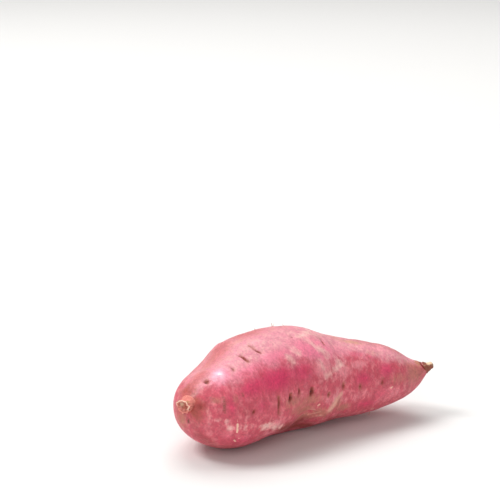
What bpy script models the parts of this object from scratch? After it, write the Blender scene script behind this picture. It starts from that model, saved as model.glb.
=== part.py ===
# A sweet potato: one plump storage root lying on its side, with its stem end at -X and
# its root tip at +X. Lengths are in millimetres here and the mesh is made in metres.
# A station is a distance from the stem end along the root's middle line. Angles go round
# the root in degrees: 0 is the back, 90 the top, 180 the front and 270 the underside.
import math
import random

import bmesh
import bpy
import numpy as np

NAME = "sweet_potato"
METRES_PER_MM = 0.001

LENGTH = 192.0  # the middle line, from the cut stem to the end of the root tip
ROWS = 80  # rows of facets from end to end
SIDES = 64  # facets round the root
END_CROWDING = 0.5  # 0 spaces the rows evenly, 1 crowds them towards both ends

# The middle line, bent towards the back: station, x, y, z.
MIDDLE_LINE = (
    (0.0, -89.0, -18.0, 38.5),
    (19.0, -71.5, -10.0, 33.4),
    (38.0, -53.0, -3.5, 32.6),
    (77.0, -16.0, 5.0, 34.0),
    (115.0, 22.0, 8.0, 30.5),
    (154.0, 60.0, 4.0, 27.5),
    (180.0, 87.0, -2.5, 28.8),
    (192.0, 100.0, -8.0, 34.5),
)

# The girth, with a cut stub of stem at one end and a thin neck at the other:
# station, half the width, half the height.
GIRTH = (
    (0.0, 0.0, 0.0),
    (0.4, 2.8, 2.7),
    (3.0, 4.3, 4.1),
    (5.5, 6.8, 6.6),
    (8.5, 14.0, 14.0),
    (17.0, 25.0, 24.0),
    (31.0, 32.5, 32.0),
    (50.0, 35.5, 36.0),
    (73.0, 36.0, 37.0),
    (96.0, 33.5, 34.0),
    (119.0, 29.0, 29.0),
    (142.0, 25.5, 25.8),
    (163.0, 20.5, 20.5),
    (174.0, 15.0, 15.0),
    (180.5, 9.8, 9.8),
    (184.0, 6.4, 6.4),
    (188.0, 3.0, 3.0),
    (191.4, 1.8, 1.8),
    (192.0, 0.0, 0.0),
)

# Broad swellings and hollows: station, angle, height, reach along, reach round in degrees.
SWELLINGS = (
    (28.0, 62.0, -7.5, 15.0, 46.0),  # the flattened shoulder beside the stem
    (44.0, 74.0, 2.0, 9.0, 32.0),  # the corner where the shoulder ends
    (21.0, 117.0, 0.9, 7.0, 16.0),  # the knob between the first two eyes
    (94.0, 84.0, 2.5, 17.0, 40.0),  # the crest of the back
    (88.0, 204.0, -4.0, 12.0, 30.0),  # the bowl low on the front
    (84.0, 240.0, -3.8, 14.0, 28.0),  # the bowl's way down to the underside
    (107.0, 200.0, 1.6, 6.0, 26.0),  # the pale ridge on the bowl's far side
    (60.0, 250.0, -4.6, 16.0, 34.0),  # the undercut of the plump lobe
    (25.0, 236.0, 1.0, 12.0, 34.0),  # the fullness low beside the stem
    (118.0, 10.0, -2.0, 18.0, 40.0),  # a shallow dip on the back
    (66.0, 330.0, 1.5, 20.0, 35.0),  # the fullness low on the back
    (82.0, 266.0, 2.2, 20.0, 22.0),  # the seat under the root's weight
    (186.0, 262.0, 1.0, 8.0, 60.0),  # the chin under the root tip
    (185.5, 70.0, 0.9, 2.2, 45.0),  # the bead on top of the neck
)

# Eyes seen from the front, in the two rows that it shows: station, angle, depth, half
# the length round the root, half the width along it.
FRONT_EYES = (
    (12.0, 114.0, 1.2, 3.6, 2.0),
    (29.0, 118.0, 1.2, 5.0, 2.0),
    (41.0, 117.0, 1.5, 5.0, 2.0),
    (54.0, 113.0, 1.5, 5.5, 2.0),
    (81.0, 110.0, 0.8, 3.5, 2.0),
    (104.0, 114.0, 0.8, 3.5, 2.0),
    (33.5, 177.0, 1.0, 3.0, 2.0),
    (54.0, 176.0, 1.5, 5.5, 2.0),
    (65.0, 173.0, 1.5, 4.0, 2.2),
    (75.0, 170.0, 1.2, 3.5, 2.0),
    (86.0, 174.0, 2.0, 4.5, 2.4),
    (102.0, 179.0, 1.2, 2.6, 2.2),
    (117.0, 170.0, 1.0, 3.0, 2.0),
    (133.0, 173.0, 1.0, 3.0, 2.0),
    (152.0, 165.0, 0.9, 4.0, 2.0),
    (166.0, 173.0, 0.8, 3.0, 2.0),
)

# The rows of eyes out of sight are 60 degrees apart, and each one's eyes wander a little.
HIDDEN_ROW_ANGLES = (54.0, 354.0, 294.0, 234.0)
HIDDEN_ROW_START = 18.0
HIDDEN_ROW_END = 165.0
HIDDEN_EYE_SPACING = 17.0
HIDDEN_EYE_DRIFT = 4.0  # along the root
HIDDEN_EYE_SWAY = 5.0  # degrees round it
HIDDEN_EYE_DEPTHS = (0.6, 1.4)
HIDDEN_EYE_SEED = 5
HIDDEN_EYE_HALF_LENGTH = 4.0
HIDDEN_EYE_HALF_WIDTH = 2.0

# No eye lies on the seat, where the root touches the surface under it.
SEAT_STATION = 76.0
SEAT_ANGLE = 275.0
SEAT_HALF_LENGTH = 34.0
SEAT_HALF_ANGLE = 30.0

# Each eye lies in a shallow groove that runs part of the way round the root.
GROOVE_SHARE = 0.35  # of the eye's depth
GROOVE_REACH_ALONG = 4.0
GROOVE_REACH_ROUND = 15.0

MIN_RELIEF_RADIUS = 8.0  # relief fades out where the root is thinner than this
SLOPE_STEP = 0.2  # distance along the middle line over which its direction is measured
MIDDLE_OF_PLAN = (5.0, 2.3)  # x and y of the middle of the root's box
FLOOR_HEIGHT = -1.4  # z of the surface that the root rests on, just above its lowest curve

SKIN_COLOUR = (0.62, 0.12, 0.19, 1.0)
SKIN_ROUGHNESS = 0.48


def smooth_through(knots, values, at):
    """A smooth curve through unevenly spaced knots."""
    knots = np.asarray(knots)
    values = np.asarray(values)
    gaps = np.diff(knots)
    slopes = np.diff(values) / gaps
    tangents = np.empty(len(knots))
    tangents[0] = slopes[0]
    tangents[-1] = slopes[-1]
    tangents[1:-1] = (slopes[:-1] * gaps[1:] + slopes[1:] * gaps[:-1]) / (gaps[:-1] + gaps[1:])
    span = np.clip(np.searchsorted(knots, at, side="right") - 1, 0, len(gaps) - 1)
    gap = gaps[span]
    t = (at - knots[span]) / gap
    from_start = (1 + 2 * t) * (1 - t) ** 2 * values[span] + t * (1 - t) ** 2 * gap * tangents[span]
    from_end = t * t * (3 - 2 * t) * values[span + 1] + t * t * (t - 1) * gap * tangents[span + 1]
    return from_start + from_end


def end_measure(station):
    """Stretches the stations near both ends, so that a round end has an even curve."""
    return np.arccos(np.clip(1 - 2 * np.asarray(station) / LENGTH, -1, 1))


def middle_line(station):
    table = np.array(MIDDLE_LINE)
    axes = [smooth_through(table[:, 0], table[:, k], station) for k in (1, 2, 3)]
    return np.stack(axes, axis=-1)


def angle_between(angle, reference):
    return (angle - reference + 180.0) % 360.0 - 180.0


def hidden_eyes():
    dice = random.Random(HIDDEN_EYE_SEED)
    eyes = []
    for row_angle in HIDDEN_ROW_ANGLES:
        for place in np.arange(HIDDEN_ROW_START, HIDDEN_ROW_END, HIDDEN_EYE_SPACING):
            station = place + dice.uniform(-HIDDEN_EYE_DRIFT, HIDDEN_EYE_DRIFT)
            angle = row_angle + dice.uniform(-HIDDEN_EYE_SWAY, HIDDEN_EYE_SWAY)
            depth = dice.uniform(*HIDDEN_EYE_DEPTHS)
            beside_seat = abs(angle_between(angle, SEAT_ANGLE)) > SEAT_HALF_ANGLE
            if beside_seat or abs(station - SEAT_STATION) > SEAT_HALF_LENGTH:
                eyes.append((station, angle, depth, HIDDEN_EYE_HALF_LENGTH, HIDDEN_EYE_HALF_WIDTH))
    return eyes


def relief(station, angle, radius):
    """Height of the swellings, hollows, eyes and grooves over the plain girth."""
    height = np.zeros_like(station)
    for at, round_at, rise, reach, reach_round in SWELLINGS:
        along = (station - at) / reach
        around = angle_between(angle, round_at) / reach_round
        height += rise * np.exp(-along**2 - around**2)
    for at, round_at, depth, half_length, half_width in FRONT_EYES + tuple(hidden_eyes()):
        along = station - at
        around = np.radians(angle_between(angle, round_at)) * radius
        pit = np.exp(-((along / half_width) ** 2) - (around / half_length) ** 2)
        groove = np.exp(-((along / GROOVE_REACH_ALONG) ** 2) - (around / GROOVE_REACH_ROUND) ** 2)
        height -= depth * (pit + GROOVE_SHARE * groove)
    return height


def root_points(station, angle):
    """Points of the skin, in millimetres, on sections square to the middle line."""
    table = np.array(GIRTH)
    knots = end_measure(table[:, 0])
    half_width = smooth_through(knots, table[:, 1], end_measure(station))
    half_height = smooth_through(knots, table[:, 2], end_measure(station))
    centre = middle_line(station)
    ahead = middle_line(np.minimum(station + SLOPE_STEP, LENGTH))
    behind = middle_line(np.maximum(station - SLOPE_STEP, 0.0))
    forward = ahead - behind
    forward /= np.linalg.norm(forward, axis=-1)[:, None]
    sideways = np.cross([0.0, 0.0, 1.0], forward)
    sideways /= np.linalg.norm(sideways, axis=-1)[:, None]
    upward = np.cross(forward, sideways)
    radius = np.maximum((half_width + half_height) / 2, MIN_RELIEF_RADIUS)
    growth = 1 + relief(station, angle, radius) / radius
    across = half_width * growth * np.cos(np.radians(angle))
    rise = half_height * growth * np.sin(np.radians(angle))
    return centre + across[:, None] * sideways + rise[:, None] * upward


def skin_material():
    material = bpy.data.materials.new("sweet_potato_skin")
    material.use_nodes = True
    shader = material.node_tree.nodes["Principled BSDF"]
    shader.inputs["Base Color"].default_value = SKIN_COLOUR
    shader.inputs["Roughness"].default_value = SKIN_ROUGHNESS
    shader.inputs["Metallic"].default_value = 0.0
    return material


def root_mesh():
    shape = bmesh.new()
    bmesh.ops.create_uvsphere(shape, u_segments=SIDES, v_segments=ROWS, radius=1.0)
    ball = np.array([vertex.co for vertex in shape.verts])
    polar = np.arccos(np.clip(ball[:, 2], -1, 1))
    even = polar / math.pi
    crowded = (1 - np.cos(polar)) / 2
    station = LENGTH * (even + END_CROWDING * (crowded - even))
    angle = -np.degrees(np.arctan2(ball[:, 1], ball[:, 0])) % 360.0
    points = root_points(station, angle)
    points -= np.array((*MIDDLE_OF_PLAN, FLOOR_HEIGHT))
    points[:, 2] = np.maximum(points[:, 2], 0.0)  # the small flat spot that it rests on
    for vertex, point in zip(shape.verts, points * METRES_PER_MM):
        vertex.co = point
    bmesh.ops.triangulate(shape, faces=shape.faces)
    mesh = bpy.data.meshes.new(NAME)
    shape.to_mesh(mesh)
    shape.free()
    mesh.shade_smooth()
    return mesh


def main():
    for thing in list(bpy.data.objects):
        bpy.data.objects.remove(thing)
    collection = bpy.data.collections.new(NAME)
    bpy.context.scene.collection.children.link(collection)
    root = bpy.data.objects.new(NAME, root_mesh())
    root.data.materials.append(skin_material())
    collection.objects.link(root)


main()
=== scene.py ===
import math
import random

import bmesh
import bpy
import numpy as np
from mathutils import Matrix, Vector


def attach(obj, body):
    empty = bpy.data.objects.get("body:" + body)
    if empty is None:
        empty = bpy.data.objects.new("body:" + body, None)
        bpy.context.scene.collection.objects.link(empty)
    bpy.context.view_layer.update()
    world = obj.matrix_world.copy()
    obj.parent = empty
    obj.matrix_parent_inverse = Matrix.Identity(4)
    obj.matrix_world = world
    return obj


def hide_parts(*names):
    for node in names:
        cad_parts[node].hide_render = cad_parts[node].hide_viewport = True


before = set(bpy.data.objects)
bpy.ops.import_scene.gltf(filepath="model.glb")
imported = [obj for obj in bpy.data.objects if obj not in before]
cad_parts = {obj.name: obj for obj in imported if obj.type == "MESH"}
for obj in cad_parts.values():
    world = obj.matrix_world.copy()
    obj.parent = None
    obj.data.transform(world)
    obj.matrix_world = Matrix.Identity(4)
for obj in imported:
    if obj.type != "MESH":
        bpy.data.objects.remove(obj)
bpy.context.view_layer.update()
print("frame loaded")

mm = 0.001  # metres in a millimetre


# Small tools for curves, noise, colours and nodes

def smoothThrough(knots, values, at):
    # a smooth curve through unevenly spaced knots
    knots = np.asarray(knots, dtype=float)
    values = np.asarray(values, dtype=float)
    gaps = np.diff(knots)
    slopes = np.diff(values) / gaps
    tangents = np.empty(len(knots))
    tangents[0] = slopes[0]
    tangents[-1] = slopes[-1]
    tangents[1:-1] = (slopes[:-1] * gaps[1:] + slopes[1:] * gaps[:-1]) / (gaps[:-1] + gaps[1:])
    span = np.clip(np.searchsorted(knots, at, side="right") - 1, 0, len(gaps) - 1)
    gap = gaps[span]
    t = (at - knots[span]) / gap
    fromStart = (1 + 2 * t) * (1 - t) ** 2 * values[span] + t * (1 - t) ** 2 * gap * tangents[span]
    fromEnd = t * t * (3 - 2 * t) * values[span + 1] + t * t * (t - 1) * gap * tangents[span + 1]
    return fromStart + fromEnd


def angleBetween(angle, reference):
    return (angle - reference + 180.0) % 360.0 - 180.0


def softStep(value, low, high):
    t = np.clip((value - low) / (high - low), 0.0, 1.0)
    return t * t * (3 - 2 * t)


def hump(*distances):
    # 1 where the distances are 0, and softly down to 0 over a few units of them
    return np.exp(-sum(distance**2 for distance in distances))


def raised(mask, least):
    # a mask from 0 to 1, made to run from least to 1
    return least + (1 - least) * mask


def ringPlaces(along, turn, radius):
    # where a noise is read on a round piece: along it, and round it at a radius
    return np.stack([along, radius * np.cos(turn), radius * np.sin(turn)], axis=-1)


def latticeNoise(places, seed, shift=0.0):
    # smooth noise from -1 to 1, in cells of side 1, the same on every run
    side = 64
    lattice = np.random.RandomState(seed).uniform(-1, 1, (side, side, side))
    places = places + shift
    cell = np.floor(places).astype(int)
    part = places - cell
    ease = part * part * (3 - 2 * part)
    total = np.zeros(len(places))
    for corner in range(8):
        step = np.array((corner & 1, corner >> 1 & 1, corner >> 2))
        weight = np.prod(np.where(step, ease, 1 - ease), axis=1)
        i, j, k = ((cell + step) % side).T
        total += weight * lattice[i, j, k]
    return total


def linearColour(hexCode):
    # an sRGB hex colour as the linear values that Blender's sockets take
    channels = [int(hexCode[i:i + 2], 16) / 255 for i in (1, 3, 5)]
    linear = [c / 12.92 if c <= 0.04045 else ((c + 0.055) / 1.055) ** 2.4 for c in channels]
    return (*linear, 1.0)


def feed(tree, socket, value):
    # a plain value, or the output of another node, into a socket
    if isinstance(value, bpy.types.NodeSocket):
        tree.links.new(value, socket)
    else:
        socket.default_value = value


def addNode(tree, kind, settings=None, inputs=None):
    # settings are the node's own properties; inputs are its sockets, by name or place
    node = tree.nodes.new(kind)
    for name, value in (settings or {}).items():
        setattr(node, name, value)
    for name, value in (inputs or {}).items():
        feed(tree, node.inputs[name], value)
    return node


class Paint:
    # one material in the making: its node tree, its shader and its named shades

    def __init__(self, name, shades):
        self.material = bpy.data.materials.new(name)
        self.material.use_nodes = True
        self.tree = self.material.node_tree
        self.shader = self.tree.nodes["Principled BSDF"]
        self.shades = {shade: linearColour(code) for shade, code in shades.items()}

    def put(self, socket, value):
        feed(self.tree, self.shader.inputs[socket], value)

    def attribute(self, name, output="Fac"):
        return addNode(self.tree, "ShaderNodeAttribute", {"attribute_name": name}).outputs[output]

    def noise(self, along, around, detail=3.0, rough=0.55, shift=0.0):
        # the pattern's size in mm along the piece and round it
        places = addNode(self.tree, "ShaderNodeVectorMath", {"operation": "MULTIPLY_ADD"},
                         {0: self.attribute("straight", "Vector"),
                          1: (1 / along, 1 / around, 1 / around), 2: (shift, shift, shift)})
        return addNode(self.tree, "ShaderNodeTexNoise", {},
                       {"Vector": places.outputs["Vector"], "Scale": 1.0, "Detail": detail,
                        "Roughness": rough}).outputs["Fac"]

    def ranged(self, value, low, high, least, most):
        # a value from low to high, stretched to run from least to most
        return addNode(self.tree, "ShaderNodeMapRange", {},
                       {"Value": value, "From Min": low, "From Max": high,
                        "To Min": least, "To Max": most}).outputs["Result"]

    def ragged(self, mask, ripple, amount, low, high):
        # breaks up the edge of a soft mask with a noise
        centred = addNode(self.tree, "ShaderNodeMath", {"operation": "SUBTRACT"}, {0: ripple, 1: 0.5})
        pushed = addNode(self.tree, "ShaderNodeMath", {"operation": "MULTIPLY_ADD"},
                         {0: centred.outputs[0], 1: amount, 2: mask})
        return addNode(self.tree, "ShaderNodeMapRange", {"interpolation_type": "SMOOTHSTEP"},
                       {"Value": pushed.outputs[0], "From Min": low, "From Max": high}).outputs["Result"]

    def blend(self, under, over, share):
        # a Mix node's sockets 6 and 7 are its two colours, and its output 2 is their mix
        return addNode(self.tree, "ShaderNodeMix", {"data_type": "RGBA"},
                       {0: share, 6: under, 7: over}).outputs[2]

    def lay(self, under, layers):
        # a layer: its shade, its mask (an attribute's name or a noise), the noise that breaks
        # the mask's edge, by how much, and where the shade starts and is full
        for shade, mask, ripple, amount, low, high in layers:
            mask = self.attribute(mask) if isinstance(mask, str) else mask
            under = self.blend(under, self.shades[shade], self.ragged(mask, ripple, amount, low, high))
        return under

    def shaded(self, colour, value, low, high, least, most):
        # a colour made darker and lighter by a noise
        factor = self.ranged(value, low, high, least, most)
        return addNode(self.tree, "ShaderNodeMix", {"data_type": "RGBA", "blend_type": "MULTIPLY"},
                       {0: 1.0, 6: colour, 7: factor}).outputs[2]

    def bump(self, height, strength, distance):
        # the distance is in mm; the strength is a value or a mask
        inputs = {"Height": height, "Strength": strength, "Distance": distance * mm}
        return addNode(self.tree, "ShaderNodeBump", {}, inputs).outputs["Normal"]


def setAttribute(mesh, name, values):
    attribute = mesh.attributes.new(name, "FLOAT", "POINT")
    attribute.data.foreach_set("value", np.asarray(values, dtype=np.float32))


def setVectorAttribute(mesh, name, values):
    attribute = mesh.attributes.new(name, "FLOAT_VECTOR", "POINT")
    attribute.data.foreach_set("vector", np.asarray(values, dtype=np.float32).ravel())


def ringedMesh(name, rows, sides):
    # rings of points along a line, closed by a point at each end; gives the mesh with
    # the place along the line and the angle round it of every point
    rings = len(rows) - 2
    ringAngles = np.arange(sides) * 360.0 / sides
    along = np.concatenate(([rows[0]], np.repeat(rows[1:-1], sides), [rows[-1]]))
    angle = np.concatenate(([0.0], np.tile(ringAngles, rings), [0.0]))
    last = 1 + rings * sides
    faces = []
    for k in range(sides):
        beside = (k + 1) % sides
        end = last - sides
        faces.append((0, 1 + beside, 1 + k))
        faces.append((end + k, end + beside, last))
        for ring in range(rings - 1):
            here = 1 + ring * sides
            faces.append((here + k, here + beside, here + sides + beside, here + sides + k))
    mesh = bpy.data.meshes.new(name)
    mesh.from_pydata(np.zeros((last + 1, 3)), [], faces)
    return mesh, along, angle


def placePoints(mesh, points):
    mesh.vertices.foreach_set("co", np.asarray(points).ravel())
    mesh.update()
    mesh.shade_smooth()


def makePiece(name, mesh, material):
    # every piece stands for part of the one packed root and moves with it
    mesh.materials.append(material)
    piece = bpy.data.objects.new(name, mesh)
    bpy.context.scene.collection.objects.link(piece)
    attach(piece, "root")
    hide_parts("sweet_potato")
    return piece


# The root's form

root = {
    "length": 192.0,  # the middle line, from the cut stem to the end of the root tip
    "middleOfPlan": (5.0, 2.3),  # x and y of the middle of the root's box
    "floorHeight": -1.4,  # z of the surface that it rests on, just above its lowest curve
    "reliefRadius": 8.0,  # relief fades out where the root is thinner than this
    # station, x, y, z
    "middleLine": (
        (0.0, -89.0, -18.0, 38.5),
        (19.0, -71.5, -10.0, 33.4),
        (38.0, -53.0, -3.5, 32.6),
        (77.0, -16.0, 5.0, 34.0),
        (115.0, 22.0, 8.0, 30.5),
        (154.0, 60.0, 4.0, 27.5),
        (180.0, 87.0, -2.5, 28.8),
        (192.0, 100.0, -8.0, 34.5),
    ),
    # station, half the width, half the height
    "girth": (
        (0.0, 0.0, 0.0),
        (0.4, 2.8, 2.7),
        (3.0, 4.3, 4.1),
        (5.5, 6.8, 6.6),
        (8.5, 14.0, 14.0),
        (17.0, 25.0, 24.0),
        (31.0, 32.5, 32.0),
        (50.0, 35.5, 36.0),
        (73.0, 36.0, 37.0),
        (96.0, 33.5, 34.0),
        (119.0, 29.0, 29.0),
        (142.0, 25.5, 25.8),
        (163.0, 20.5, 20.5),
        (174.0, 15.0, 15.0),
        (180.5, 9.8, 9.8),
        (184.0, 6.4, 6.4),
        (188.0, 3.0, 3.0),
        (191.4, 1.8, 1.8),
        (192.0, 0.0, 0.0),
    ),
    # station, angle, height, reach along, reach round in degrees
    "swellings": (
        (28.0, 62.0, -7.5, 15.0, 46.0),  # the flattened shoulder beside the stem
        (44.0, 74.0, 2.0, 9.0, 32.0),  # the corner where the shoulder ends
        (21.0, 117.0, 0.9, 7.0, 16.0),  # the knob between the first two eyes
        (94.0, 84.0, 2.5, 17.0, 40.0),  # the crest of the back
        (88.0, 204.0, -4.0, 12.0, 30.0),  # the bowl low on the front
        (84.0, 240.0, -3.8, 14.0, 28.0),  # the bowl's way down to the underside
        (107.0, 200.0, 1.6, 6.0, 26.0),  # the pale ridge on the bowl's far side
        (60.0, 250.0, -4.6, 16.0, 34.0),  # the undercut of the plump lobe
        (25.0, 236.0, 1.0, 12.0, 34.0),  # the fullness low beside the stem
        (118.0, 10.0, -2.0, 18.0, 40.0),  # a shallow dip on the back
        (66.0, 330.0, 1.5, 20.0, 35.0),  # the fullness low on the back
        (82.0, 266.0, 2.2, 20.0, 22.0),  # the seat under the root's weight
        (186.0, 262.0, 1.0, 8.0, 60.0),  # the chin under the root tip
        (185.5, 70.0, 0.9, 2.2, 45.0),  # the bead on top of the neck
    ),
}


def endMeasure(station):
    # stretches the stations near both ends, so that a round end has an even curve
    return np.arccos(np.clip(1 - 2 * np.asarray(station) / root["length"], -1, 1))


def middleLine(station):
    table = np.array(root["middleLine"])
    return np.stack([smoothThrough(table[:, 0], table[:, k], station) for k in (1, 2, 3)], axis=-1)


def crossAxes(station):
    # the middle line's direction, and the section's two axes square to it
    slopeStep = 0.2
    ahead = middleLine(np.minimum(station + slopeStep, root["length"]))
    behind = middleLine(np.maximum(station - slopeStep, 0.0))
    forward = ahead - behind
    forward /= np.linalg.norm(forward, axis=-1)[:, None]
    sideways = np.cross([0.0, 0.0, 1.0], forward)
    sideways /= np.linalg.norm(sideways, axis=-1)[:, None]
    return forward, sideways, np.cross(forward, sideways)


def halfSizes(station):
    table = np.array(root["girth"])
    knots = endMeasure(table[:, 0])
    return [smoothThrough(knots, table[:, k], endMeasure(station)) for k in (1, 2)]


def meanRadius(station):
    halfWidth, halfHeight = halfSizes(station)
    return np.maximum((halfWidth + halfHeight) / 2, root["reliefRadius"])


def patch(station, angle, at, roundAt, reach, reachRound):
    # a soft round patch of the skin, 1 at its middle
    return hump((station - at) / reach, angleBetween(angle, roundAt) / reachRound)


def swell(station, angle):
    height = np.zeros_like(station)
    for at, roundAt, rise, reach, reachRound in root["swellings"]:
        height += rise * patch(station, angle, at, roundAt, reach, reachRound)
    return height


def rootPoints(station, angle, height, closing=1.0):
    # points of the root's surface, with a relief height added to its broad form
    halfWidth, halfHeight = halfSizes(station)
    growth = (1 + (swell(station, angle) + height) / meanRadius(station)) * closing
    sideways, upward = crossAxes(station)[1:]
    across = halfWidth * growth * np.cos(np.radians(angle))
    rise = halfHeight * growth * np.sin(np.radians(angle))
    return middleLine(station) + across[:, None] * sideways + rise[:, None] * upward


def toFrame(points):
    # from the root's own millimetres to the frame's metres, flat where it rests
    placed = points - np.array((*root["middleOfPlan"], root["floorHeight"]))
    placed[:, 2] = np.maximum(placed[:, 2], 0.0)
    return placed * mm


def sleeve(name, piece):
    # a mesh of rings round the root between two stations, the station and angle of each
    # point, and the share of its radius that is left where the sleeve closes at its ends
    share = np.linspace(0, 1, piece["rows"])
    crowded = (1 - np.cos(math.pi * share)) / 2
    share += piece["endCrowding"] * (crowded - share)
    rows = piece["start"] + (piece["end"] - piece["start"]) * share
    mesh, station, angle = ringedMesh(name, rows, piece["sides"])
    fromEnds = np.minimum(station - piece["start"], piece["end"] - station)
    closing = np.sqrt(np.clip(fromEnds / piece["closingLength"], 0, 1))
    return mesh, station, angle, closing


def strokeDistance(station, angle, radius, start, end):
    # how far each point of the skin lies from a stroke drawn on it, and how far along
    # the stroke its nearest place is, from 0 to 1
    leastLength = 1e-6  # so that even a dot has a length
    alongPoint = station - start[0]
    roundPoint = np.radians(angleBetween(angle, start[1])) * radius
    alongStroke = end[0] - start[0] + leastLength
    roundStroke = math.radians(end[1] - start[1]) * radius
    share = (alongPoint * alongStroke + roundPoint * roundStroke) / (alongStroke**2 + roundStroke**2)
    share = np.clip(share, 0.0, 1.0)
    return np.hypot(alongPoint - share * alongStroke, roundPoint - share * roundStroke), share


# The eyes: slits that lie across the root, each in a shallow groove

eyes = {
    # first end and last end (station, angle), where between them the slit is darkest,
    # half the slit's width, depth, tan rim
    "front": (
        ((12.2, 107.0), (12.7, 113.0), 0.5, 0.75, 1.5, 0.9),
        ((30.7, 109.0), (31.1, 122.5), 0.8, 0.50, 0.7, 0.6),
        ((41.2, 109.5), (43.6, 121.5), 0.45, 0.65, 1.1, 0.8),
        ((54.0, 105.0), (56.1, 118.5), 0.75, 0.55, 0.9, 0.7),
        ((81.9, 106.8), (82.7, 110.8), 0.5, 0.50, 0.5, 0.3),
        ((104.4, 108.0), (106.1, 116.0), 0.6, 0.50, 0.8, 0.7),
        ((34.8, 175.5), (33.1, 179.5), 0.5, 0.65, 1.2, 0.6),
        ((55.7, 169.0), (55.4, 187.0), 0.45, 0.65, 0.9, 1.0),
        ((67.4, 171.5), (66.2, 177.0), 0.6, 0.95, 1.7, 0.9),
        ((76.0, 167.5), (75.5, 173.5), 0.5, 0.55, 1.2, 0.6),
        ((88.1, 170.5), (87.6, 178.0), 0.55, 1.10, 2.1, 1.0),
        ((103.2, 178.6), (103.1, 181.0), 0.5, 1.00, 0.9, 1.0),
        ((117.2, 168.0), (117.8, 174.0), 0.6, 0.75, 0.8, 0.9),
        ((133.7, 171.0), (133.4, 175.0), 0.5, 0.95, 0.8, 0.9),
        ((153.6, 164.5), (152.8, 171.5), 0.7, 0.85, 0.7, 0.8),
        ((167.2, 172.0), (166.8, 177.0), 0.5, 0.60, 0.5, 0.5),
    ),
    "deepest": 1.7,  # the depth from which a slit is fully dark: its brown, deepened by painted shade in the cleft
    "dentReach": 1.9,
    "dentShare": 0.55,  # of the eye's depth
    "slitShare": 0.5,
    "endDepth": 0.55,  # the slit's depth at its ends, as a share of that at its middle
    "endShade": 0.3,  # how dark it is far from its darkest place
    "fadeShare": 0.34,  # how fast it fades from there to its ends
    "stain": 0.45,  # how much wider its dark colour is, to each side
    "wobble": 0.7,  # how far the slits stray from straight lines
    "wobbleSize": 3.5,
    "grooveShare": 0.35,
    "grooveAlong": 4.0,
    "grooveRound": 15.0,
    "browShare": 0.3,  # the raised brow on the stem side of each slit
    "browOffset": 2.4,
    "browAlong": 1.5,
    "browRound": 5.5,
    "rimReach": 2.3,
    # the rows out of sight
    "hiddenRows": ((54.0, 48.0), (354.0, 20.0), (294.0, 24.0), (268.0, 60.0)),  # angle, start
    "rowEnd": 166.0,
    "spacing": 17.0,
    "drift": 4.0,
    "sway": 5.0,
    "depths": (0.6, 1.4),
    "hiddenHalfLength": 3.6,
    "hiddenSlant": 1.2,  # for each mm that the eye is deeper than 1
    "hiddenHalfWidth": 0.55,
    "hiddenDarkest": (0.3, 0.8),
    "hiddenRim": 0.7,  # for each mm of the eye's depth
    "seat": (76.0, 275.0, 34.0, 30.0),  # station, angle and half sizes of the patch with none
    "seed": 5,
}


def hiddenEyes():
    dice = random.Random(eyes["seed"])
    seatStation, seatAngle, seatHalfLength, seatHalfAngle = eyes["seat"]
    found = []
    for rowAngle, rowStart in eyes["hiddenRows"]:
        for place in np.arange(rowStart, eyes["rowEnd"], eyes["spacing"]):
            station = place + dice.uniform(-eyes["drift"], eyes["drift"])
            angle = rowAngle + dice.uniform(-eyes["sway"], eyes["sway"])
            depth = dice.uniform(*eyes["depths"])
            besideSeat = abs(angleBetween(angle, seatAngle)) > seatHalfAngle
            if besideSeat or abs(station - seatStation) > seatHalfLength:
                turn = math.degrees(eyes["hiddenHalfLength"] * depth / meanRadius(station))
                slant = eyes["hiddenSlant"] * (depth - 1.0)
                found.append(((station - slant, angle - turn), (station + slant, angle + turn),
                              dice.uniform(*eyes["hiddenDarkest"]), eyes["hiddenHalfWidth"],
                              depth, eyes["hiddenRim"] * depth))
    return found


def eyeFields(station, angle, radius):
    # how far the eyes sink the skin, how dark their slits are, and the tan skin round them
    sink = np.zeros_like(station)
    slitMask = np.zeros_like(station)
    rimMask = np.zeros_like(station)
    for start, end, darkest, halfWidth, depth, rim in eyes["front"] + tuple(hiddenEyes()):
        away, share = strokeDistance(station, angle, radius, start, end)
        middle = ((start[0] + end[0]) / 2, (start[1] + end[1]) / 2)
        along = station - middle[0]
        around = np.radians(angleBetween(angle, middle[1])) * radius
        slit = hump(away / halfWidth) * raised(np.sin(math.pi * share), eyes["endDepth"])
        dent = hump(away / eyes["dentReach"])
        groove = hump(along / eyes["grooveAlong"], around / eyes["grooveRound"])
        brow = hump((along + eyes["browOffset"]) / eyes["browAlong"], around / eyes["browRound"])
        sink += depth * (eyes["slitShare"] * slit + eyes["dentShare"] * dent)
        sink += depth * (eyes["grooveShare"] * groove - eyes["browShare"] * brow)
        # the deeper the slit, the darker: its brown deepened by painted shade in the cleft
        dark = min(depth / eyes["deepest"], 1.0)
        dark = dark * raised(hump((share - darkest) / eyes["fadeShare"]), eyes["endShade"])
        slitMask = np.maximum(slitMask, dark * hump(away / (halfWidth + eyes["stain"])))
        rimMask = np.maximum(rimMask, rim * hump(away / eyes["rimReach"]))
    return sink, slitMask, rimMask


# Zones of colour: broad patches of the skin, placed as the photograph shows them in front
# and carried on in the same way behind

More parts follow.
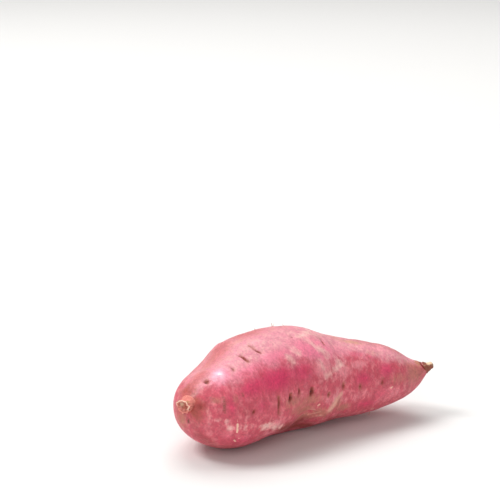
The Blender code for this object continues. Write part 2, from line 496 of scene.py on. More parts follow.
zones = {
    # station, angle, reach along, reach round in degrees, strength
    "magenta": (
        (38.0, 149.0, 16.0, 15.0, 0.8),
        (58.0, 150.0, 20.0, 16.0, 1.0),
        (78.0, 150.0, 14.0, 14.0, 0.8),
        (19.0, 165.0, 3.5, 22.0, 0.7),
        (15.0, 135.0, 5.0, 14.0, 0.5),
        (42.0, 173.0, 8.0, 9.0, 0.6),
        (90.0, 132.0, 10.0, 7.0, 0.45),
        (133.0, 124.0, 10.0, 7.0, 0.9),
        (143.0, 127.0, 6.0, 7.0, 0.9),
        (136.0, 162.0, 9.0, 12.0, 0.75),
        (156.0, 148.0, 6.0, 18.0, 0.75),
        (141.0, 203.0, 10.0, 10.0, 0.7),
        (152.0, 190.0, 10.0, 12.0, 0.5),
        (30.0, 216.0, 16.0, 14.0, 0.5),
        (11.0, 62.0, 3.0, 12.0, 0.7),
        (60.0, 5.0, 34.0, 26.0, 0.8),
        (112.0, 332.0, 26.0, 30.0, 0.7),
        (60.0, 290.0, 30.0, 24.0, 0.5),
        (144.0, 15.0, 20.0, 26.0, 0.6),
        (130.0, 262.0, 24.0, 22.0, 0.5),
    ),
    "rosy": (
        (99.0, 147.0, 12.0, 13.0, 1.1),
        (116.0, 148.0, 14.0, 14.0, 1.0),
        (132.0, 142.0, 10.0, 9.0, 0.9),
        (50.0, 213.0, 16.0, 9.0, 0.6),
        (30.0, 210.0, 8.0, 8.0, 0.5),
        (30.0, 194.0, 12.0, 7.0, 0.4),
        (17.0, 196.0, 7.0, 8.0, 0.5),
        (54.0, 200.0, 9.0, 8.0, 0.9),
        (110.0, 186.0, 14.0, 12.0, 0.8),
        (134.0, 186.0, 16.0, 10.0, 0.5),
        (160.0, 196.0, 14.0, 18.0, 0.7),
    ),
    "tan": (
        (70.0, 180.0, 13.0, 9.0, 0.8),
        (88.0, 184.0, 12.0, 10.0, 0.9),
        (76.0, 190.0, 12.0, 8.0, 0.8),
        (84.0, 197.0, 13.0, 7.0, 1.0),
        (88.0, 212.0, 13.0, 9.0, 1.0),
        (100.0, 206.0, 9.0, 11.0, 1.0),
        (113.0, 194.0, 8.0, 12.0, 0.8),
        (121.0, 203.0, 9.0, 9.0, 0.9),
        (22.5, 158.0, 2.5, 9.0, 0.6),
        (27.5, 153.0, 2.0, 5.0, 0.5),
        (12.0, 156.0, 3.0, 9.0, 0.7),
        (133.0, 97.0, 13.0, 9.0, 0.9),
        (122.0, 88.0, 8.0, 14.0, 0.6),
        (148.0, 118.0, 10.0, 10.0, 0.5),
        (122.0, 144.0, 6.0, 8.0, 0.4),
        (166.0, 166.0, 10.0, 16.0, 0.7),
        (181.0, 160.0, 8.0, 60.0, 0.75),
        (182.0, 290.0, 7.0, 70.0, 0.8),
        (50.0, 90.0, 14.0, 6.0, 0.5),
        (24.0, 74.0, 16.0, 12.0, 0.5),
        (40.0, 20.0, 12.0, 14.0, 0.5),
        (90.0, 350.0, 12.0, 12.0, 0.6),
        (120.0, 300.0, 14.0, 14.0, 0.5),
        (62.0, 312.0, 12.0, 12.0, 0.5),
        (150.0, 40.0, 12.0, 14.0, 0.5),
    ),
    "hotPinkAndGlow": (
        (95.0, 126.0, 22.0, 18.0, 1.0),
        (66.0, 129.0, 20.0, 11.0, 0.8),
        (42.0, 132.0, 22.0, 9.0, 0.8),
        # this one is painted glow round the knob's highlight; the others are the skin's own hot pink
        (20.0, 119.0, 8.0, 15.0, 1.2),
        (118.0, 122.0, 16.0, 16.0, 0.5),
        (146.0, 108.0, 20.0, 14.0, 0.4),
    ),
    "salmon": (
        (12.0, 84.0, 12.0, 26.0, 1.0),
        (36.0, 74.0, 20.0, 26.0, 1.0),
        (62.0, 74.0, 18.0, 22.0, 1.0),
        (84.0, 72.0, 12.0, 18.0, 0.7),
        (150.0, 78.0, 26.0, 20.0, 0.9),
        (168.0, 92.0, 12.0, 16.0, 0.8),
        (60.0, 36.0, 60.0, 26.0, 0.9),
        (130.0, 40.0, 50.0, 30.0, 0.9),
        (180.0, 165.0, 11.0, 60.0, 0.9),
        (180.0, 290.0, 11.0, 70.0, 0.9),
    ),
    # deep red skin by the stem and the eyes, and painted shade in the bowl, under the plump lobe and on
    # the underside
    "deepRedAndShade": (
        (66.0, 214.0, 10.0, 12.0, 0.9),
        (84.0, 226.0, 16.0, 12.0, 0.9),
        (92.0, 238.0, 22.0, 10.0, 1.0),
        (114.0, 226.0, 12.0, 12.0, 0.7),
        (44.0, 216.0, 10.0, 8.0, 0.4),
        (20.0, 244.0, 20.0, 18.0, 0.6),
        (18.0, 158.0, 6.0, 12.0, 0.35),
        (6.5, 168.0, 2.6, 24.0, 0.8),
        (6.5, 206.0, 3.0, 24.0, 0.7),
        (76.0, 172.0, 8.0, 6.0, 0.3),
        (28.0, 176.0, 12.0, 6.0, 0.35),
        (90.0, 284.0, 50.0, 24.0, 0.4),
    ),
    "stemEnd": (
        (5.0, 60.0, 5.5, 60.0, 0.9),
        (4.5, 140.0, 3.0, 40.0, 1.0),
        (4.5, 200.0, 4.5, 60.0, 0.9),
        (5.0, 320.0, 5.0, 70.0, 0.8),
    ),
    "neck": tuple((189.0, around, 2.6, 60.0, 1.0) for around in (40.0, 130.0, 220.0, 310.0)),
    "browned": (
        (184.8, 100.0, 2.6, 40.0, 1.0),
        (183.0, 186.0, 2.0, 26.0, 0.4),
        (7.5, 292.0, 4.5, 30.0, 0.65),
        (6.0, 110.0, 2.5, 30.0, 0.4),
    ),
}

# Small marks drawn on the skin: first end and last end (station, angle), reach, strength

marks = {
    "powderAndSheen": (
        ((73.5, 133.0), (75.0, 140.0), 3.2, 0.8),
        ((77.0, 120.0), (80.0, 130.0), 3.4, 0.7),
        # the next two, and the one at station 101, are painted sheen along the crest of the back; the
        # rest are pale powdery skin
        ((88.0, 108.0), (97.0, 99.0), 4.0, 0.7),
        ((97.0, 99.0), (106.0, 90.0), 4.0, 0.7),
        ((90.0, 114.0), (96.0, 121.0), 3.4, 0.7),
        ((99.0, 124.0), (104.0, 131.0), 4.0, 0.8),
        ((101.0, 157.0), (108.0, 151.0), 3.0, 0.8),
        ((107.0, 151.0), (116.0, 143.0), 2.8, 0.8),
        ((112.0, 133.0), (118.0, 142.0), 3.2, 0.6),
        ((95.0, 140.0), (99.0, 148.0), 3.0, 0.6),
        ((42.0, 200.0), (49.0, 198.0), 4.2, 0.8),
        ((50.0, 202.0), (59.0, 207.0), 3.6, 0.8),
        ((28.0, 195.0), (31.0, 193.0), 3.0, 0.5),
        ((19.2, 196.5), (19.5, 199.0), 1.8, 0.85),
        ((13.0, 189.0), (16.0, 191.0), 3.4, 0.5),
        ((126.0, 108.0), (135.0, 110.0), 3.0, 0.5),
        ((64.0, 108.0), (70.0, 116.0), 3.6, 0.2),
        ((47.0, 116.0), (48.0, 120.0), 2.6, 0.5),
        ((101.0, 98.0), (103.0, 110.0), 3.4, 0.5),
        # painted glow round the knob's highlight
        ((18.5, 120.0), (21.5, 117.0), 4.4, 0.35),
    ),
    "ridge": (
        ((115.5, 181.0), (111.0, 187.0), 2.2, 0.9),
        ((111.0, 187.0), (106.5, 200.0), 3.0, 1.0),
        ((103.0, 208.0), (95.0, 214.0), 0.8, 0.75),
        ((100.0, 203.0), (91.0, 211.0), 0.7, 0.75),
        ((88.0, 199.0), (95.0, 201.0), 0.7, 0.75),
        ((79.0, 204.0), (88.0, 208.0), 0.8, 0.6),
    ),
    "scar": (
        ((22.4, 184.5), (22.8, 188.0), 0.45, 0.6),
        ((22.9, 191.0), (23.9, 203.0), 0.62, 1.0),
        ((24.6, 217.0), (25.8, 219.0), 0.6, 0.9),
        ((26.2, 212.6), (27.2, 211.6), 0.5, 0.7),
        ((23.8, 208.0), (24.0, 211.0), 0.4, 0.5),
        ((96.0, 194.3), (96.9, 192.2), 0.7, 1.0),
        ((159.2, 181.6), (160.6, 180.0), 0.6, 0.8),
        ((147.2, 223.0), (149.2, 224.0), 0.7, 0.7),
        ((36.9, 210.0), (37.6, 213.0), 0.4, 0.4),
        ((85.0, 203.0), (99.0, 215.5), 0.4, 0.45),
        ((91.0, 216.0), (99.0, 204.0), 0.4, 0.4),
        ((82.0, 196.0), (92.0, 206.0), 0.4, 0.4),
    ),
    "smudge": (
        ((15.3, 152.0), (15.0, 164.0), 1.5, 0.75),
        ((15.0, 163.0), (15.2, 176.0), 1.3, 0.8),
        ((9.6, 147.0), (12.2, 161.0), 1.5, 0.5),
        ((13.8, 113.0), (14.4, 123.0), 0.5, 0.5),
        ((27.6, 151.0), (28.0, 156.0), 1.0, 0.6),
        ((22.9, 160.0), (22.6, 170.0), 0.8, 0.4),
        ((37.2, 158.0), (37.2, 164.0), 1.0, 0.4),
        ((35.7, 117.5), (36.0, 120.0), 0.6, 0.5),
        ((34.6, 109.0), (35.0, 111.5), 0.7, 0.45),
        ((37.0, 99.0), (37.8, 102.0), 1.4, 0.35),
        ((84.6, 169.5), (85.4, 173.0), 1.6, 0.6),
        ((68.6, 170.5), (68.4, 173.0), 1.2, 0.5),
        ((55.6, 183.0), (55.8, 186.0), 0.9, 0.5),
        ((126.0, 80.0), (124.8, 98.0), 0.6, 0.45),
        ((100.8, 105.0), (101.4, 107.5), 0.7, 0.45),
        ((141.0, 126.0), (144.0, 130.0), 1.5, 0.6),
        ((6.6, 174.0), (6.8, 180.0), 1.2, 0.5),
        ((6.8, 257.0), (6.9, 262.0), 0.9, 0.9),
        ((148.0, 96.0), (149.0, 102.0), 1.2, 0.35),
        ((170.0, 120.0), (171.0, 124.0), 1.0, 0.35),
    ),
    # lines sunk into the creases by the stem and at the neck, coloured dark as painted shade
    "shadedCrease": (
        ((6.6, 162.0), (6.8, 180.0), 0.8, 0.4),
        ((6.6, 72.0), (6.4, 110.0), 0.6, 0.4),
        ((185.8, 60.0), (186.2, 130.0), 0.7, 0.9),
        ((186.2, 130.0), (187.6, 195.0), 0.7, 0.9),
    ),
}


def zoneMask(name, station, angle):
    mask = np.zeros_like(station)
    for *place, strength in zones[name]:
        mask = np.maximum(mask, strength * patch(station, angle, *place))
    return mask


def markMask(name, station, angle, radius):
    mask = np.zeros_like(station)
    for start, end, reach, strength in marks[name]:
        away = strokeDistance(station, angle, radius, start, end)[0]
        mask = np.maximum(mask, strength * hump(away / reach))
    return mask


# The skin: the whole root but for the cut face of its stem and the dried end of its tip

skin = {
    "rows": 330,
    "sides": 278,
    "endCrowding": 0.5,
    "start": 4.4,  # the skin closes inside the stub of stem
    "end": 189.5,  # and inside the dried tip
    "closingLength": 0.9,
    "undulation": 0.35,  # height of the broad unevenness
    "undulationSize": 15.0,
    "wrinkle": 0.12,  # height of the fine wrinkles that run round the root
    "wrinkleAlong": 2.6,
    "wrinkleRound": 16.0,
    "grain": 0.05,
    "grainSize": 1.7,
    "scarHeight": 0.25,
    "creaseDepth": 0.7,
    "ridgeHeight": 0.6,
    # the light crown: station, the angles of its front and back edges
    "crown": (
        (0.0, 116.0, 40.0),
        (12.0, 122.0, 40.0),
        (21.0, 132.0, 30.0),
        (45.0, 133.0, 20.0),
        (62.0, 137.0, 20.0),
        (78.0, 137.0, 15.0),
        (95.0, 138.0, 15.0),
        (112.0, 134.0, 20.0),
        (126.0, 129.0, 22.0),
        (140.0, 128.0, 25.0),
        (156.0, 129.0, 28.0),
        (170.0, 127.0, 30.0),
        (192.0, 124.0, 30.0),
    ),
    "frontFade": 23.0,  # degrees that each edge takes to fade, to either side
    "backFade": 46.0,
    "waxy": (19.5, 117.0, 6.0, 16.0),  # the knob's smooth patch, written as a zone is; the painted glow round the knob's highlight follows it too
    "waxySmoothness": 0.85,  # the share of the fine relief that is missing there
    "roughness": (0.40, 0.56),
    "waxyGloss": 0.22,  # how much less rough the smooth patch is
    "ior": 1.42,  # plant wax over damp cells
    "bumpStrength": (0.5, 0.1),  # of the skin and of the smooth patch
    "bumpDepth": 0.16,
    "bumpWrinkle": 1.6,  # the wrinkles' part in it, for each part of grain
    "shades": {
        "rose": "#CC5263",
        "mottle": "#E0767F",
        "magenta": "#DA3B65",
        "crown": "#DE8D9B",
        "salmon": "#C96F72",
        "crownMottle": "#E7A5A6",
        "rosy": "#F0909A",
        "tan": "#C27469",
        "crownTan": "#D59784",
        "deepRedAndShade": "#963A34",
        "stemEnd": "#B35148",
        "browned": "#B4745C",
        "neck": "#8B4638",
        "paintedGlow": "#FFB9CC",
        "powderAndSheen": "#FAC6BE",
        "scar": "#F6C6B0",
        "rim": "#A85C4A",
        "smudge": "#7A4636",
        "shadedCrease": "#7E1E1C",
        "slit": "#8A3228",
        "shadedCore": "#40140C",
        "hotPinkAndGlow": "#F2839D",
        "ridge": "#E6A796",
    },
}


def crownMask(station, angle):
    table = np.array(skin["crown"])
    front = smoothThrough(table[:, 0], table[:, 1], station)
    back = smoothThrough(table[:, 0], table[:, 2], station)
    fromFront = softStep(angleBetween(front, angle), -skin["frontFade"], skin["frontFade"])
    fromBack = softStep(angleBetween(angle, back), -skin["backFade"], skin["backFade"])
    return fromFront * fromBack


def skinMesh():
    mesh, station, angle, closing = sleeve("skin", skin)
    radius = meanRadius(station)
    straight = ringPlaces(station, np.radians(angle), radius)
    wobble = eyes["wobble"] * latticeNoise(straight / eyes["wobbleSize"], seed=4)
    sink, slitMask, rimMask = eyeFields(station + wobble, angle, radius)
    masks = {name: zoneMask(name, station, angle) for name in zones}
    masks.update({name: markMask(name, station, angle, radius) for name in marks})
    waxy = patch(station, angle, *skin["waxy"])
    masks.update(slit=slitMask, rim=rimMask, crown=crownMask(station, angle), waxy=waxy)
    stretched = straight / np.array((skin["wrinkleAlong"], skin["wrinkleRound"], skin["wrinkleRound"]))
    height = skin["undulation"] * latticeNoise(straight / skin["undulationSize"], seed=1)
    fine = skin["wrinkle"] * latticeNoise(stretched, seed=2)
    fine += skin["grain"] * latticeNoise(straight / skin["grainSize"], seed=3)
    height += fine * (1 - skin["waxySmoothness"] * waxy)
    height += skin["ridgeHeight"] * masks["ridge"]
    height -= sink + skin["scarHeight"] * masks["scar"] + skin["creaseDepth"] * masks["shadedCrease"]
    placePoints(mesh, toFrame(rootPoints(station, angle, height, closing)))
    for name, mask in masks.items():
        setAttribute(mesh, name, mask)
    setVectorAttribute(mesh, "straight", straight)
    return mesh


def skinMaterial():
    # Raw sweet potato skin, washed and unwaxed: a thin satin periderm, pink to magenta, mottled by the
    # flesh below, powdery and pale on its crown, corky, tan and matt where it has healed or rubbed.
    # Painted shade darkens its underside, the bowl, the creases and the deepest slits; a painted sheen
    # runs along the crest of its back, and a painted glow rings the highlight on the knob.
    paint = Paint("rawSweetPotatoSkin", skin["shades"])
    patches = paint.noise(8.0, 9.0)
    clouds = paint.noise(3.2, 4.2, shift=20.0)
    streaks = paint.noise(1.1, 6.0, detail=4.0, shift=40.0)
    speckle = paint.noise(1.0, 1.2, detail=2.0, shift=60.0)
    bands = paint.noise(1.7, 9.0, detail=3.0, shift=160.0)
    plain = paint.lay(paint.shades["rose"], (
        ("mottle", clouds, speckle, 0.35, 0.4, 0.75),
        ("rosy", bands, clouds, 0.5, 0.5, 1.2),
        ("rosy", "rosy", clouds, 1.1, 0.15, 1.1),
        ("magenta", "magenta", clouds, 1.3, 0.1, 1.0),
        ("salmon", "salmon", clouds, 0.8, 0.1, 1.1),
        ("tan", "tan", streaks, 1.1, 0.2, 1.0),
    ))
    crown = paint.lay(paint.shades["crown"], (
        ("crownMottle", clouds, speckle, 0.6, 0.4, 0.7),
        # the skin's hot pink, and painted glow round the knob's highlight
        ("hotPinkAndGlow", "hotPinkAndGlow", clouds, 0.9, 0.1, 1.0),
        ("magenta", "magenta", clouds, 1.3, 0.3, 1.6),
        ("salmon", "salmon", clouds, 0.8, 0.1, 1.1),
        ("crownTan", "tan", streaks, 1.1, 0.2, 1.0),
    ))
    crownShare = paint.ragged(paint.attribute("crown"), patches, 0.9, -0.1, 1.1)
    colour = paint.blend(plain, crown, paint.ragged(crownShare, clouds, 0.7, -0.05, 1.05))
    colour = paint.lay(colour, (
        # painted shade on the underside and in the bowl, over deep red skin in places
        ("deepRedAndShade", "deepRedAndShade", patches, 0.8, 0.1, 1.1),
        ("stemEnd", "stemEnd", clouds, 0.8, 0.2, 1.0),
        ("browned", "browned", speckle, 1.2, 0.2, 1.0),
        ("neck", "neck", speckle, 0.6, 0.3, 0.8),
        # painted highlight: a pale pink glow round the glint on the knob, laid over the smooth patch
        ("paintedGlow", "waxy", clouds, 0.4, 0.15, 1.15),
        # pale powdery skin, with painted sheen on the crest and painted glow at the knob
        ("powderAndSheen", "powderAndSheen", clouds, 1.6, 0.2, 1.2),
        ("ridge", "ridge", clouds, 0.9, 0.2, 1.1),
        ("rim", "rim", clouds, 1.2, 0.3, 1.3),
        ("smudge", "smudge", speckle, 1.0, 0.25, 1.2),
        # painted shade in the creases
        ("shadedCrease", "shadedCrease", speckle, 0.5, 0.2, 0.9),
        ("scar", "scar", speckle, 0.5, 0.25, 0.75),
        ("slit", "slit", speckle, 0.5, 0.05, 0.5),
        # painted shade: a near-black core in the deepest slits
        ("shadedCore", "slit", speckle, 0.5, 0.5, 1.1),
    ))
    # fine cells of the skin, drawn at twice their real size so that they show
    cells = paint.noise(1.3, 1.5, detail=2.0, shift=120.0)
    colour = paint.shaded(colour, cells, 0.25, 0.75, least=0.84, most=1.16)
    broad = paint.noise(4.5, 6.0, detail=4.0, shift=140.0)
    colour = paint.shaded(colour, broad, 0.3, 0.7, least=0.9, most=1.1)
    paint.put("Base Color", colour)

    # waxy and smooth on the knob by the first eyes, satin elsewhere
    satin = paint.ranged(patches, 0.3, 0.7, *skin["roughness"])
    waxy = paint.ranged(paint.attribute("waxy"), 0.0, 1.0, 0.0, skin["waxyGloss"])
    paint.put("Roughness", addNode(paint.tree, "ShaderNodeMath", {"operation": "SUBTRACT"},
                                   {0: satin, 1: waxy}).outputs[0])
    paint.put("Metallic", 0.0)
    paint.put("IOR", skin["ior"])

    fineGrain = paint.noise(0.6, 0.8, shift=80.0)
    wrinkles = paint.noise(1.2, 8.0, detail=4.0, shift=100.0)
    mixed = addNode(paint.tree, "ShaderNodeMath", {"operation": "MULTIPLY_ADD"},
                    {0: wrinkles, 1: skin["bumpWrinkle"], 2: fineGrain})
    strength = paint.ranged(paint.attribute("waxy"), 0.0, 1.0, *skin["bumpStrength"])
    paint.put("Normal", paint.bump(mixed.outputs[0], strength, skin["bumpDepth"]))
    return paint.material


makePiece("skin", skinMesh(), skinMaterial())
print("skin made")


# The cut stem: a short oval stub of bark with a ragged, curled edge round a sunken face

cutStem = {
    "station": 5.5,  # where the bark comes out of the skin
    "halfWidth": 5.3,
    "halfHeight": 4.0,
    # place along the outline, height above the station, share of the half sizes
    "outline": (
        (0.00, -2.5, 0.00),
        (0.06, -2.5, 1.02),
        (0.22, 0.0, 1.08),
        (0.38, 2.0, 1.04),
        (0.52, 3.6, 1.00),
        (0.62, 4.5, 1.06),
        (0.67, 4.8, 0.98),
        (0.71, 4.6, 0.90),
        (0.80, 4.3, 0.70),
        (0.90, 4.2, 0.38),
        (1.00, 4.3, 0.00),
    ),
    "rows": 90,
    "sides": 120,
    "droop": 0.34,  # how far its axis bends down from the middle line's
    "lift": 0.6,  # how far its foot stands above the middle line
    "slant": -0.3,  # how much further out the upper edge stands, below 0 for further in
    "raggedHeight": 0.7,
    "raggedHeightCells": 2.6,  # noise cells in a radius, so that six times as many go round
    "raggedWidth": 0.12,
    "raggedWidthCells": 3.4,
    # the places along the outline between which each of these comes in or goes out
    "slantIn": (0.2, 0.6),
    "edgeIn": (0.35, 0.58),
    "edgeOut": (0.72, 0.86),
    "faceIn": (0.70, 0.84),
    "fibreHeight": 0.22,
    "fibreCells": 7.0,
    "fibreLength": 4.0,
    "pitDepth": 0.5,
    "pitSize": 1.5,
    "finePits": 0.4,  # their size and depth, as a share of the other pits'
    "paleEdge": (0.66, 0.06),  # its place along the outline, and its reach
    "paleBelow": 0.35,  # its strength on the lower half
    "lowerHalf": (-0.5, 0.3),  # where that half ends, as shares of the half height
    "corky": (2.6, 60.0, 1.4, 22.0),  # height, angle, reach along, reach round
    "shadedSide": (325.0, 60.0),  # angle and reach of the side where the painted shade at the stub's foot is darkest
    "shadeElsewhere": 0.2,  # its strength on the other sides
    "shadeFade": (0.2, 1.6),  # the heights between which its colour ends
    "shadeExtra": 2.0,  # and how much higher it ends on its darkest side
    # patches of the cut face: across, up, reach, strength
    "spots": {
        "pith": ((-1.2, 1.7, 2.1, 0.9), (3.7, -1.5, 1.2, 1.0)),
        "pit": (
            (2.1, 0.5, 0.8, 1.0),
            (3.1, -0.5, 0.7, 0.9),
            (-0.4, -0.2, 0.9, 0.6),
            (-3.0, 0.2, 0.6, 0.6),
        ),
        "salmon": ((-2.4, -1.5, 1.6, 0.9), (0.6, -2.4, 1.4, 0.8)),
    },
    "roughness": (0.66, 0.86),
    "ior": 1.45,  # dry cellulose
    "bumpStrength": 0.7,
    "bumpDepth": 0.3,
    "shades": {
        "salmon": "#D4837A",
        "bark": "#DE7E74",
        "edge": "#F4CDB4",
        "face": "#B4604F",
        "pith": "#CDA188",
        "pit": "#6E3628",
        # painted shade round the stub's foot, where it meets the skin
        "base": "#9C3A30",
        "corky": "#C98A68",
    },
}


def cutStemAxes():
    # where the stub's foot stands, and its directions outward, aside and upward
    station = np.array([cutStem["station"]])
    outward = -crossAxes(station)[0] - np.array([0.0, 0.0, cutStem["droop"]])
    outward /= np.linalg.norm(outward)
    aside = np.cross([0.0, 0.0, 1.0], outward)
    aside /= np.linalg.norm(aside)
    upward = np.cross(outward, aside)
    return middleLine(station) + cutStem["lift"] * upward, outward, aside, upward


def cutStemMesh():
    mesh, place, angle = ringedMesh("cutStem", np.linspace(0, 1, cutStem["rows"]), cutStem["sides"])
    outline = np.array(cutStem["outline"])
    height = smoothThrough(outline[:, 0], outline[:, 1], place)
    share = np.maximum(smoothThrough(outline[:, 0], outline[:, 2], place), 0.0)
    turn = np.radians(angle)
    circle = np.stack([np.cos(turn), np.sin(turn), np.zeros_like(turn)], axis=-1)
    edge = softStep(place, *cutStem["edgeIn"]) * (1 - softStep(place, *cutStem["edgeOut"]))
    face = softStep(place, *cutStem["faceIn"])
    raggedWidth = latticeNoise(cutStem["raggedWidthCells"] * circle, seed=22, shift=5)
    share *= 1 + cutStem["raggedWidth"] * edge * raggedWidth
    height += cutStem["slant"] * np.sin(turn) * share * softStep(place, *cutStem["slantIn"])
    raggedHeight = latticeNoise(cutStem["raggedHeightCells"] * circle, seed=21, shift=9)
    height += cutStem["raggedHeight"] * edge * raggedHeight
    across = cutStem["halfWidth"] * share * np.cos(turn)
    rise = cutStem["halfHeight"] * share * np.sin(turn)
    bark = cutStem["fibreCells"] * circle
    bark[:, 2] = height / cutStem["fibreLength"]
    fibres = latticeNoise(bark, seed=23, shift=3)
    local = np.stack([across, rise, np.zeros_like(rise)], axis=-1)
    height += face * cutStem["pitDepth"] * latticeNoise(local / cutStem["pitSize"], seed=24, shift=2)
    finePits = latticeNoise(local / (cutStem["finePits"] * cutStem["pitSize"]), seed=25)
    height += face * cutStem["finePits"] * cutStem["pitDepth"] * finePits
    barkRelief = (1 - face) * cutStem["fibreHeight"] * fibres
    across += barkRelief * np.cos(turn)
    rise += barkRelief * np.sin(turn)
    for name, spots in cutStem["spots"].items():
        mask = np.zeros_like(across)
        for atAcross, atRise, reach, strength in spots:
            apart = np.hypot(across - atAcross, rise - atRise) / reach
            mask = np.maximum(mask, strength * face * hump(apart))
        setAttribute(mesh, name, mask)
        if name == "pit":
            height -= cutStem["pitDepth"] * mask
    foot, outward, aside, upward = cutStemAxes()
    points = foot + across[:, None] * aside + rise[:, None] * upward + height[:, None] * outward
    placePoints(mesh, toFrame(points))
    setVectorAttribute(mesh, "straight", np.stack([height, across, rise], axis=-1))
    setAttribute(mesh, "face", face)
    edgePlace, edgeReach = cutStem["paleEdge"]
    edgeStrength = raised(softStep(np.sin(turn), *cutStem["lowerHalf"]), cutStem["paleBelow"])
    setAttribute(mesh, "edge", edgeStrength * hump((place - edgePlace) / edgeReach))
    # painted shade at the foot of the stub, darkest on its lower side and fading with height
    shadedAngle, shadedReach = cutStem["shadedSide"]
    shadedSide = hump(angleBetween(angle, shadedAngle) / shadedReach)
    shadeLow, shadeHigh = cutStem["shadeFade"]
    shadeFade = softStep(height, shadeLow, shadeHigh + cutStem["shadeExtra"] * shadedSide)
    setAttribute(mesh, "base", raised(shadedSide, cutStem["shadeElsewhere"]) * (1 - shadeFade))
    setAttribute(mesh, "corky", (1 - face) * patch(height, angle, *cutStem["corky"]))
    return mesh


def cutStemMaterial():
    # Dried stem tissue: salmon bark, a bleached papery edge, and a matt brown-red face of
    # cut fibres with paler pith and small dark holes.
    # painted shade darkens the bark at its foot, deepest on its lower side
    paint = Paint("driedStemTissue", cutStem["shades"])
    coarse = paint.noise(1.8, 1.8)
    fine = paint.noise(0.5, 0.5, shift=15.0)
    fibres = paint.noise(3.0, 0.5, shift=30.0)
    colour = paint.lay(paint.shades["bark"], (
        ("edge", fibres, fine, 0.8, 0.5, 1.0),
        ("corky", "corky", fine, 1.0, 0.3, 0.9),
        ("base", "base", fibres, 1.0, 0.2, 1.0),
    ))
    mottled = paint.lay(paint.shades["face"], (
        ("salmon", "salmon", coarse, 1.0, 0.2, 0.8),
        ("pith", "pith", fine, 1.0, 0.2, 0.8),
        ("pit", "pit", fine, 0.8, 0.3, 0.9),
    ))
    colour = paint.blend(colour, mottled, paint.ragged(paint.attribute("face"), fine, 0.5, 0.3, 0.8))
    colour = paint.shaded(colour, fibres, 0.3, 0.7, least=0.8, most=1.08)
    colour = paint.lay(colour, (("edge", "edge", fine, 0.9, 0.3, 0.8),))
    paint.put("Base Color", colour)
    paint.put("Roughness", paint.ranged(coarse, 0.3, 0.7, *cutStem["roughness"]))
    paint.put("IOR", cutStem["ior"])
    paint.put("Normal", paint.bump(fibres, cutStem["bumpStrength"], cutStem["bumpDepth"]))
    return paint.material


makePiece("cutStem", cutStemMesh(), cutStemMaterial())
print("cut stem made")


# The dried root tip: a shrivelled, fibrous end that pokes out of the last crease

driedTip = {
    "start": 186.4,
    "end": 192.0,
    "rows": 60,
    "sides": 84,
    "endCrowding": 0.0,
    "closingLength": 0.5,
    "thickness": 0.35,  # how far its bark stands out of the skin
    "emerge": 1.1,  # the length over which it comes out of the skin
    "leastRadius": 1.0,  # the thinnest that its relief reckons with
    "meanRadius": 2.0,  # at which the patterns of its colours are read
    "ridge": 0.5,  # height of the ridges that run along it
    "ridgeLength": 5.0,
    "ridgeCells": 2.3,
    "lump": 0.45,
    "lumpSize": 1.6,
    "lumpRadius": 3.0,
    "creamAngle": 100.0,
    "creamReach": 62.0,
    "creamIn": (187.8, 189.6),  # the stations between which the cream comes in
    "roughness": (0.7, 0.88),
    "ior": 1.45,  # dry cellulose
    "bumpStrength": 0.6,
    "bumpDepth": 0.2,
    "shades": {
        "bark": "#8F4E3E",
        "cream": "#EBCBAA",
        "olive": "#9E8A70",
        "shadedCrease": "#6B2A1E",
    },
}


def driedTipMesh():
    mesh, station, angle, closing = sleeve("driedTip", driedTip)
    turn = np.radians(angle)
    ridges = ringPlaces(station / driedTip["ridgeLength"], turn, driedTip["ridgeCells"])
    lumps = ringPlaces(station, turn, driedTip["lumpRadius"]) / driedTip["lumpSize"]
    out = softStep(station, driedTip["start"], driedTip["start"] + driedTip["emerge"])
    relief = driedTip["thickness"] * (2 * out - 1)
    relief += out * (driedTip["ridge"] * latticeNoise(ridges, seed=31, shift=6)
                     + driedTip["lump"] * latticeNoise(lumps, seed=32))
    # rootPoints makes relief low where the root is thin, and here it is wanted in full
    thin = np.maximum(halfSizes(station)[0], driedTip["leastRadius"])
    relief = relief * root["reliefRadius"] / thin
    placePoints(mesh, toFrame(rootPoints(station, angle, relief, closing)))
    setVectorAttribute(mesh, "straight", ringPlaces(station, turn, driedTip["meanRadius"]))
    cream = hump(angleBetween(angle, driedTip["creamAngle"]) / driedTip["creamReach"])
    setAttribute(mesh, "cream", cream * softStep(station, *driedTip["creamIn"]))
    # painted shade where the tip comes out of the skin
    setAttribute(mesh, "shadedCrease", 1 - out)
    return mesh


def driedTipMaterial():
    # Dried root fibre: red-brown bark below, bleached cream fibres on top, dull all over, with painted
    # shade where it comes out of the skin.
    paint = Paint("driedRootFibre", driedTip["shades"])
    coarse = paint.noise(1.6, 1.2)
    fine = paint.noise(0.9, 0.4, shift=12.0)
    colour = paint.lay(paint.shades["bark"], (
        ("cream", "cream", fine, 0.8, 0.3, 0.8),
        ("olive", coarse, fine, 1.0, 0.55, 0.8),
        ("shadedCrease", "shadedCrease", fine, 0.6, 0.3, 0.9),
    ))
    paint.put("Base Color", colour)
    paint.put("Roughness", paint.ranged(coarse, 0.3, 0.7, *driedTip["roughness"]))
    paint.put("IOR", driedTip["ior"])
    paint.put("Normal", paint.bump(fine, driedTip["bumpStrength"], driedTip["bumpDepth"]))
    return paint.material


makePiece("driedTip", driedTipMesh(), driedTipMaterial())
print("dried tip made")


# Rootlets: dry hairs that stand out of the skin, most of them at eyes

